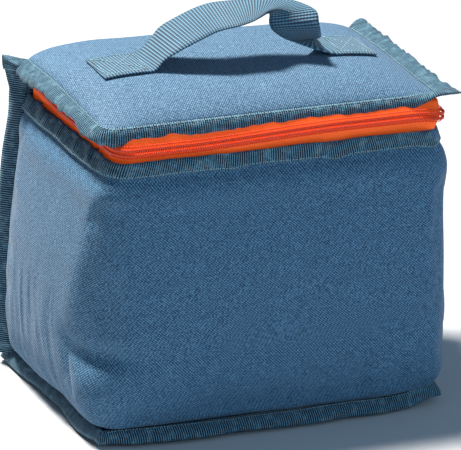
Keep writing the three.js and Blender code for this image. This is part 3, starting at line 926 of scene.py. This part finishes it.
def lid_crown(x, y):
    """How far the padded top stands above the sewn edge."""
    height = 12.0
    a = (np.asarray(x) - LID_LEFT) / (LID_X - LID_LEFT) * 2 - 1
    u = np.clip(np.abs(a), 0, 1)
    v = (np.asarray(y) - LID_FRONT) / (LID_BACK - LID_FRONT) * 2 - 1
    across = np.clip(1 - u ** np.where(a < 0, 9.0, 5.0), 0, 1) ** 0.8
    front_part = np.clip(1 - np.abs(np.clip(v, -1, 0)) ** 3.6, 0, 1) ** 0.8
    back_part = 1 - 0.25 * np.clip(v, 0, 1) ** 3
    crown = height * across * front_part * back_part
    wide = soft_noise(x, y, 45, 71) * 0.8 + soft_noise(x, y, 18, 72) * 0.3
    dimple = hump(x, -LID_X + 12, 12) * hump(y, LID_BACK - 22, 14)
    return crown + (wide - 2.2 * dimple) * across * front_part


def lid_top(x, y):
    return lid_seam_z(x, y) + lid_crown(x, y)


def round_corner(x, y):
    """Draws the lid's square front left corner in to a quarter circle."""
    x = np.broadcast_to(x, y.shape)
    in_x = np.clip(LID_LEFT + LID_CORNER - x, 0, None)
    in_y = np.clip(LID_FRONT + LID_CORNER - y, 0, None)
    scale = np.maximum(in_x, in_y) / np.maximum(np.hypot(in_x, in_y), 1e-9)
    shift = np.where((in_x > 0) & (in_y > 0), 1 - scale, 0)
    return x + in_x * shift, y + in_y * shift


def make_lid_cloth():
    """Lid, hinge fold and back in one cloth, from the lid's front edge down to the base seam."""
    u = np.linspace(-1, 1, 141)
    lid_y = lerp(LID_FRONT, LID_BACK, np.linspace(0, 1, 81))
    turn = np.linspace(0, math.pi / 2, 17)[1:]
    fold_ry = BACK_Y - LID_BACK
    drop = 11.0
    back_z = lerp(1.0, 0.0, np.linspace(0, 1, 91)[1:])
    points, uvs = [], []
    for a in u:
        x = lerp(LID_LEFT, LID_X, (a + 1) / 2)
        top = lid_top(x, lid_y)
        round_x, round_y = round_corner(x, lid_y)
        column = [joined(round_x, round_y, top)]
        edge_z = top[-1]
        fold_y = LID_BACK + fold_ry * np.sin(turn)
        fold_z = edge_z - drop * (1 - np.cos(turn))
        fold_x = lerp(x, a * LID_X, np.sin(turn) ** 2)
        column.append(joined(fold_x, fold_y, fold_z))
        z = SEAM_Z + (edge_z - drop - SEAM_Z) * back_z
        half_x, _ = wall_size(np.minimum(z, RIM_Z))
        share = np.clip((z - RIM_Z) / (edge_z - drop - RIM_Z), 0, 1)
        t = wall_share(z)
        half_x = lerp(half_x - BACK_TURN_IN * fullness(t), LID_X, share)
        if a > 0:
            half_x = half_x - RIGHT_SLIMMER * fullness(t)
        xs = a * (half_x - 0.2)
        bow = 3.0 * np.sin(math.pi * t) * (1 - a**4)
        bow += 0.7 * soft_noise(xs, z, 40, 81) * (1 - a**4)
        tuck = 1.2 * np.exp(-(z - SEAM_Z) / 5)
        column.append(joined(xs, BACK_Y + bow - tuck, z))
        line = np.concatenate(column)
        points.append(line)
        uvs.append(joined(x, arc_length(line)))
    points, uvs = np.array(points), np.array(uvs)
    piece = sheet_mesh("lid_and_back_cloth", points, uvs, CLOTH_THICKNESS, flip=True)
    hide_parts("lid_panel", "hinge_fold", "back_panel")
    finish_piece(piece, LID_CLOTH)
    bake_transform(piece)
    return piece


def lid_edge_line(step=1.1, fan=11):
    """The lid's sewn edge from back left round the front to back right, with outward vectors."""
    left = np.arange(LID_BACK, LID_FRONT + LID_CORNER - step / 2, -step)
    front = np.arange(LID_LEFT + LID_CORNER, LID_X, step)
    right = np.arange(LID_BACK, LID_FRONT, -step)[::-1]
    places = [(LID_LEFT, y) for y in left]
    outs = [(-1.0, 0.0)] * len(left)
    centre = np.array([LID_LEFT + LID_CORNER, LID_FRONT + LID_CORNER])
    for v in turning((-1, 0), (0, -1), fan):
        places.append(tuple(centre + v * LID_CORNER))
        outs.append(tuple(v))
    places += [(x, LID_FRONT) for x in front]
    outs += [(0.0, -1.0)] * len(front)
    for v in turning((0, -1), (1, 0), fan):
        places.append((LID_X, LID_FRONT))
        outs.append(tuple(v / max(abs(v))))
    places += [(LID_X, y) for y in right]
    outs += [(1.0, 0.0)] * len(right)
    return np.array(places), np.array(outs)


def make_lid_binding():
    place, out = lid_edge_line()
    x, y = place[:, 0], place[:, 1]
    length = arc_length(place + out * 8)
    seam = lid_seam_z(x, y)
    at_front = np.clip(-out[:, 1], 0, 1)
    at_left = np.clip(-out[:, 0], 0, 1) * (1 - at_front)
    at_right = np.clip(out[:, 0], 0, 1) * (1 - at_front)
    right_share = smooth(-60, 60, x)
    near_right = smooth(26, 0, LID_X - x) * at_front
    reach = 2.4 * at_front + 7.5 * at_left + 10.5 * at_right
    reach = reach + 8.0 * near_right
    sag = lerp(10.3, 9.0, right_share) * at_front + 5.5 * at_left
    sag = sag - 3.2 * at_right - 12.5 * near_right
    # the left flange lies in waves
    waves = hump(y, LID_FRONT + 32, 9) - hump(y, LID_FRONT + 14, 9)
    waves = waves - 1.2 * hump(y, LID_BACK - 14, 14)
    sag = sag - 2.6 * waves * at_left
    coarse = ripple(length, 11, 91)
    fine = ripple(length, 3.4, 93)
    sag = sag + (0.9 * coarse + 1.5 * fine) * (0.15 + 0.85 * at_left + 0.85 * at_right)
    reach = reach + (0.7 * ripple(length, 15, 92) + 0.3 * fine)
    inner = joined(x, y, seam + 0.2)
    edge = joined(x + out[:, 0] * reach, y + out[:, 1] * reach, seam - sag)
    across, width = span(inner, edge)
    normal = upper_side(across, out)
    start = inner - across
    sides = at_left + at_right
    curl = (at_front + 0.8 * at_left + (0.12 + 0.9 * sides) * fine)
    flange_width = width + 1.0
    piece = tape(
        "lid_binding_tape", start, across, normal, flange_width, 2.2, puff=0.35, curl=curl
    )
    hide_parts("lid_binding")
    finish_piece(piece, GROSGRAIN, "lid")
    sew("lid_stitches", inner - across * 0.4 + normal * 1.25, normal, 1.5, "lid")


def make_back_edge_binding(side, name, node, seed):
    """Tape over the upright back seam, running on over the hinge to the lid's back corner."""
    top = LID_SEAM_Z - 10
    z = np.linspace(SEAM_Z - 3, top, 190)
    half_x, _ = wall_size(np.clip(z, SEAM_Z, RIM_Z))
    t = wall_share(z)
    half_x = half_x - (BACK_TURN_IN + RIGHT_SLIMMER * (side > 0)) * fullness(t)
    half_x = np.where(z > RIM_Z, lerp(half_x, LID_X, smooth(RIM_Z, top, z)), half_x)
    seam = joined(side * (half_x - 1.0), BACK_Y - 0.5, z)
    upright = joined(0.78 * side, 0.62, 0 * z)
    turn = np.linspace(0, 1, 30)[1:]
    quarter = turn * math.pi / 2
    rise = lid_seam_z(side * LID_X, LID_BACK) - z[-1]
    fold_y = BACK_Y - 0.5 - (BACK_Y - LID_BACK) * (1 - np.cos(quarter))
    fold = joined(side * LID_X, fold_y, z[-1] + rise * np.sin(quarter))
    # over the fold the free edge swings from backwards to sideways and makes a pointed wing
    share = smooth(0.25, 1, turn)[:, None]
    over = unit(lerp(upright[0], np.array([side, 0.05, -0.25]), share))
    lift = hump(turn, 0.55, 0.35)
    over = unit(over + np.array([0, 0, 0.3]) * lift[:, None])
    inner = np.concatenate([seam, fold])
    across = np.concatenate([upright, over])
    length = arc_length(inner)
    waver = 0.16 * ripple(length, 22, seed)
    across = unit(across + np.array([side, 0, 0]) * waver[:, None])
    normal = unit(np.cross(tangents(inner), across))
    width = 11 + 0.7 * ripple(length, 25, seed + 1)
    flare = smooth(length[-1] - 45, length[-1] - 14, length)
    width = width + 4.0 * flare + 2.5 * hump(length, length[-1] - 9, 6)
    width = width - 4.0 * smooth(length[-1] - 6, length[-1], length)
    piece = tape(name, inner, across, normal, width, 1.9, puff=0.2)
    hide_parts(node)
    finish_piece(piece, GROSGRAIN)
    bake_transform(piece)


# ---- zipper ----


def zip_line(z, inset, step=1.2, bulge=5):
    """The U-shaped line of the zipper at a height, set in from the rim.

    Across the front it drops a little to the left, and the right corner stands proud."""
    s = np.arange(4, WRAP_LENGTH - 4, step)
    x, y, nx, ny = plan(s, RIM_X - inset, RIM_Y - inset, 12, 8)
    drop = 3.2 * smooth(RIGHT_CORNER - 60, LEFT_CORNER + 40, s)
    drop = drop * smooth(4, 50, s)
    proud = bulge * hump(s, RIGHT_CORNER - 2, 9)
    out = joined(nx, ny, 0)
    line = joined(x + nx * proud, y + ny * proud, z - drop)
    return line, out


def make_zip_tapes():
    """The lower tape stands up from the rim; the upper one leans in to the lid's seam."""
    inset, thickness = 1.6, 0.7
    high, out = zip_line(ZIP_Z - 0.3, inset)
    low = high.copy()
    low[:, 2] = RIM_Z - 8
    low[:, :2] = zip_line(0, inset, bulge=0)[0][:, :2] - out[:, :2] * 0.8
    across, width = span(low, high)
    lower = tape("lower_zip_tape_cloth", low, across, out, width, thickness, points=9)
    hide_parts("lower_zip_tape")
    finish_piece(lower, ZIP_TAPE, "bag")
    low, out = zip_line(ZIP_Z + 0.3, inset)
    top = lid_seam_z(low[:, 0], low[:, 1]) - 1.6
    lean = joined(-out[:, 0], -out[:, 1] * 5.0, top - low[:, 2])
    across = unit(lean)
    width = np.linalg.norm(lean, axis=1)
    normal = outer_side(low, across, out)
    upper = tape("upper_zip_tape_cloth", low, across, normal, width, thickness, points=9)
    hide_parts("upper_zip_tape")
    finish_piece(upper, ZIP_TAPE, "lid")


def make_coil(name, node, body, middle_z, lean):
    """One row of coil: slanted nylon teeth along the tape's edge."""
    pitch, half_height, radius = 1.35, 1.1, 0.62
    line, out = zip_line(middle_z, -0.1, step=pitch)
    reach = tangents(line) * lean + np.array([0.0, 0.0, half_height])
    teeth = rod_mesh(name, line - reach, line + reach, out, radius, 0.9)
    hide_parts(node)
    finish_piece(teeth, ZIP_COIL, body)


def make_coil_stitches(name, body, z):
    """The row of stitching that holds the coil to its tape."""
    line, out = zip_line(z, 0.9)
    stitches = stitch_row(name, line, out, pitch=1.9, length=1.8, radius=0.42)
    finish_piece(stitches, ZIP_COIL, body)


def make_zipper():
    make_zip_tapes()
    apart, seam = 1.5, 3.7
    lower, upper = ZIP_Z - apart, ZIP_Z + apart
    make_coil("lower_coil_teeth", "lower_zip_coil", "bag", lower, 0.45)
    make_coil("upper_coil_teeth", "upper_zip_coil", "lid", upper, -0.45)
    make_coil_stitches("lower_coil_stitches", "bag", ZIP_Z - seam)
    make_coil_stitches("upper_coil_stitches", "lid", ZIP_Z + seam)


# ---- handle ----


def make_handle():
    """One webbing strap: two ends sewn flat on the lid and a loop that twists at the right."""
    y0 = (LEFT_END_LOW.y + LEFT_END_HIGH.y) / 2
    half = 15
    thickness = 1.9

    def flat(x):
        return [(x, side * half, lid_top(x, y0 + side * half) + 1.4) for side in (-1, 1)]

    # front and back edge of the strap, in millimetres; y is measured from the strap's middle
    loop = [
        [(-52, -15, 221), (-50, 15, 223)], [(-43.5, -17, 226.5), (-45, 12.5, 231.5)],
        [(-33, -19, 232), (-34.5, 10, 238.5)], [(-20, -21, 238), (-17, 8, 245.5)],
        [(-6, -21, 240), (1, 7.5, 246.5)], [(5, -20, 242.5), (22, 4, 246)],
        [(13, -17, 245), (40, -3, 245.5)], [(18, -11, 242), (47, -16, 243)],
        [(18.5, -10, 236), (47, -21, 237)], [(25, -12, 228), (54, -10.5, 224)],
        [(39, -14, 221.5), (59, 5, 219)],
    ]
    stations = [flat(x) for x in (-91, -82, -74, -66, -59)] + loop
    stations += [flat(x) for x in (63, 70, 77, 84, 91)]
    rails = np.array(stations, float)
    rails[..., 1] += y0
    rails = rails.reshape(len(stations), 6)
    middle = (rails[:, :3] + rails[:, 3:]) / 2
    t = arc_length(middle)
    fine = catmull(rails, np.linspace(0, t[-1], 300), t)
    front, back = fine[:, :3], fine[:, 3:]
    across, width = span(front, back)
    normal = unit(np.cross(tangents((front + back) / 2), across))
    piece = tape("handle_webbing", front, across, normal, width, thickness, points=15)
    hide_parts("handle_strap", "handle_end_left", "handle_end_right")
    finish_piece(piece, WEBBING)
    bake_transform(piece)
    add_patch_stitches("left", -89, -62, y0)
    add_patch_stitches("right", 67, 88, y0)


def catmull(points, at, knots):
    """Smooth interpolation through points at the given lengths."""
    slope = np.gradient(points, knots, axis=0)
    k = np.clip(np.searchsorted(knots, at, side="right") - 1, 0, len(points) - 2)
    h = (knots[k + 1] - knots[k])[:, None]
    t = ((at - knots[k]) / (knots[k + 1] - knots[k]))[:, None]
    a = (1 + 2 * t) * (1 - t) ** 2 * points[k] + t * (1 - t) ** 2 * h * slope[k]
    return a + t * t * (3 - 2 * t) * points[k + 1] + t * t * (t - 1) * h * slope[k + 1]


def add_patch_stitches(side, x0, x1, y0):
    """Box stitching with a cross, through the sewn end of the strap."""
    half = 12.5
    corners = [(x0, -half), (x1, -half), (x1, half), (x0, half)]
    runs = [(corners[k], corners[(k + 1) % 4]) for k in range(4)]
    runs += [(corners[0], corners[2]), (corners[3], corners[1])]
    for k, (a, b) in enumerate(runs):
        x = np.linspace(a[0], b[0], 30)
        y = y0 + np.linspace(a[1], b[1], 30)
        line = joined(x, y, lid_top(x, y) + 2.45)
        ups = np.tile([0.0, 0.0, 1.0], (len(line), 1))
        stitches = stitch_row(f"{side}_box_stitches_{k + 1}", line, ups, 2.4, 1.7)
        finish_piece(stitches, THREAD, "lid")


# ---- slider ----


def rounded_box(name, low, high, bevel, segments=3):
    mesh = bmesh.new()
    bmesh.ops.create_cube(mesh, size=1)
    for v in mesh.verts:
        v.co = ((low + high) / 2 + v.co * (high - low)) * MM
    bmesh.ops.bevel(
        mesh, geom=list(mesh.edges), offset=bevel * MM, segments=segments, profile=0.5, affect="EDGES"
    )
    data = bpy.data.meshes.new(name)
    mesh.to_mesh(data)
    mesh.free()
    for polygon in data.polygons:
        polygon.use_smooth = True
    piece = bpy.data.objects.new(name, data)
    bpy.context.scene.collection.objects.link(piece)
    return piece


def make_slider():
    """The CAD's own slider and puller, in zinc."""
    for name in ("zip_slider", "zip_puller"):
        metal = frame["nodes"][name].data.materials
        metal.clear()
        metal.append(ZINC)


# ---- lining and foam ----


def inside_wall(s, z, depth):
    """Points on the wall's line, moved inwards by a depth."""
    points, out = wall_points(s, z)
    points = points - out * np.asarray(depth)[..., None]
    points[..., 1] = np.minimum(points[..., 1], BACK_Y - 7)
    return points


def make_lining():
    s = np.linspace(0, WRAP_LENGTH, 201)
    z = np.linspace(SEAM_Z, RIM_Z - 1.5, 61)
    grid_s, grid_z = crossed(s, z)
    depth = 6.6 - 4.2 * smooth(RIM_Z - 12, RIM_Z - 2, grid_z)
    depth = depth + 0.4 * soft_noise(grid_s, grid_z, 22, 101)
    points = inside_wall(grid_s, grid_z, depth)
    walls = sheet_mesh("wall_lining_film", points, joined(grid_s, grid_z), FILM_THICKNESS)
    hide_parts("wall_lining")
    finish_piece(walls, LINING, "bag")
    make_flat_linings()
    make_lid_lining()


def make_flat_linings():
    """The films on the back board and on the base board."""
    across = np.linspace(-104, 104, 71)
    gx, gz = crossed(across, np.linspace(7, 186, 61))
    back = joined(gx, BACK_Y - 6.4 + 0.4 * soft_noise(gx, gz, 25, 103), gz)
    gx, gy = crossed(across, CENTRE_Y + np.linspace(-62, 61, 41))
    base = joined(gx, gy, 6.4 + 0.35 * soft_noise(gx, gy, 25, 105))
    for name, node, points, drop in (
        ("back_lining_film", "back_lining", back, 1),
        ("base_lining_film", "bottom_lining", base, 2),
    ):
        piece = sheet_mesh(name, points, np.delete(points, drop, axis=-1), FILM_THICKNESS)
        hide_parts(node)
        finish_piece(piece, LINING, "bag")


def lid_layer(name, down, inset, thickness):
    x = np.linspace(-LID_X + inset, LID_X - inset, 81)
    y = np.linspace(LID_FRONT + inset, LID_BACK - inset / 2, 51)
    gx, gy = crossed(x, y)
    points = joined(gx, gy, lid_top(gx, gy) - down)
    return sheet_mesh(name, points, points[..., :2], thickness, flip=True)


def make_lid_lining():
    piece = lid_layer("lid_lining_film", 5.4, 4, FILM_THICKNESS)
    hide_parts("lid_lining")
    finish_piece(piece, LINING, "lid")


def make_wall_foam():
    """Foam boards that follow the cloth, one behind each straight stretch of wall."""
    spans = {
        "left_foam": (12, SIDE_LENGTH),
        "front_foam": (SIDE_LENGTH + CORNER_LENGTH, WRAP_LENGTH - SIDE_LENGTH - CORNER_LENGTH),
        "right_foam": (WRAP_LENGTH - SIDE_LENGTH, WRAP_LENGTH - 12),
    }
    for node, (s0, s1) in spans.items():
        s = np.linspace(s0, s1, 61)
        z = np.linspace(SEAM_Z + 1, RIM_Z - 13, 61)
        grid_s, grid_z = crossed(s, z)
        points = inside_wall(grid_s, grid_z, CLOTH_THICKNESS + 0.5)
        piece = sheet_mesh(f"{node}_board", points, joined(grid_s, grid_z), 4.2, flip=True)
        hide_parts(node)
        finish_piece(piece, FOAM, "bag")


def make_foam():
    make_wall_foam()
    trims = {"back_foam": Vector((9, 1, 3)), "bottom_foam": Vector((4, 4, 0.3))}
    for node, trim in trims.items():
        low, high = corners_of(node)
        piece = rounded_box(f"{node}_board", low + trim, high - trim, 1.0)
        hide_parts(node)
        finish_piece(piece, FOAM, "bag")
    piece = lid_layer("lid_foam_board", 1.1, 6, 4.0)
    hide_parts("lid_foam")
    finish_piece(piece, FOAM, "lid")


make_walls()
make_rim_binding()
make_base_binding()
make_base_panel()
make_lid_cloth()
make_lid_binding()
make_back_edge_binding(-1, "left_back_edge_tape", "left_back_binding", 111)
make_back_edge_binding(1, "right_back_edge_tape", "right_back_binding", 115)
make_zipper()
make_handle()
make_slider()
make_lining()
make_foam()

# ---- stage ----


def make_stage():
    bpy.ops.mesh.primitive_plane_add(size=8, location=(0, 0, 0))
    floor = bpy.context.object
    floor.name = "floor"
    floor.data.materials.append(floor_material())
    world = bpy.data.worlds.new("studio")
    bpy.context.scene.world = world
    world.use_nodes = True
    background = world.node_tree.nodes["Background"]
    background.inputs[0].default_value = (0.6, 0.8, 1.0, 1)
    background.inputs[1].default_value = 0.27
    add_light("key", (-0.54, 0.66, 2.18), 148, 0.32, (1.0, 0.88, 0.78))
    add_light("front_fill", (0.8, -1.7, 0.7), 12, 1.6, (0.6, 0.82, 1.0))


def add_light(name, place, power, size, colour):
    data = bpy.data.lights.new(name, "AREA")
    data.energy = power
    data.color = colour
    data.size = size
    light = bpy.data.objects.new(name, data)
    light.location = place
    aim = Vector((0, 0, 0.12)) - Vector(place)
    light.rotation_euler = aim.to_track_quat("-Z", "Y").to_euler()
    bpy.context.scene.collection.objects.link(light)


def make_camera():
    """Three-quarter view from the front left, a little above, with a long lens."""
    azimuth, elevation, roll = (math.radians(v) for v in (-25.8, 20.9, 2.8))
    level = Vector((math.cos(azimuth), math.sin(azimuth), 0))
    away = Vector((math.sin(azimuth), -math.cos(azimuth), 0))
    back = away * math.cos(elevation) + Vector((0, 0, math.sin(elevation)))
    up = back.cross(level)
    right = level * math.cos(roll) + up * math.sin(roll)
    top = up * math.cos(roll) - level * math.sin(roll)
    data = bpy.data.cameras.new("camera")
    data.lens = 350.8
    data.sensor_width = 36
    data.shift_x = 0.0076
    data.shift_y = 0.0152
    data.clip_end = 50
    camera = bpy.data.objects.new("camera", data)
    distance = 2.773
    place = Vector((0, CENTRE_Y * MM, 0.1)) + back * distance
    camera.matrix_world = Matrix.Translation(place) @ Matrix((right, top, back)).transposed().to_4x4()
    bpy.context.scene.collection.objects.link(camera)
    bpy.context.scene.camera = camera


make_stage()
make_camera()
bpy.context.scene.view_settings.view_transform = "Standard"
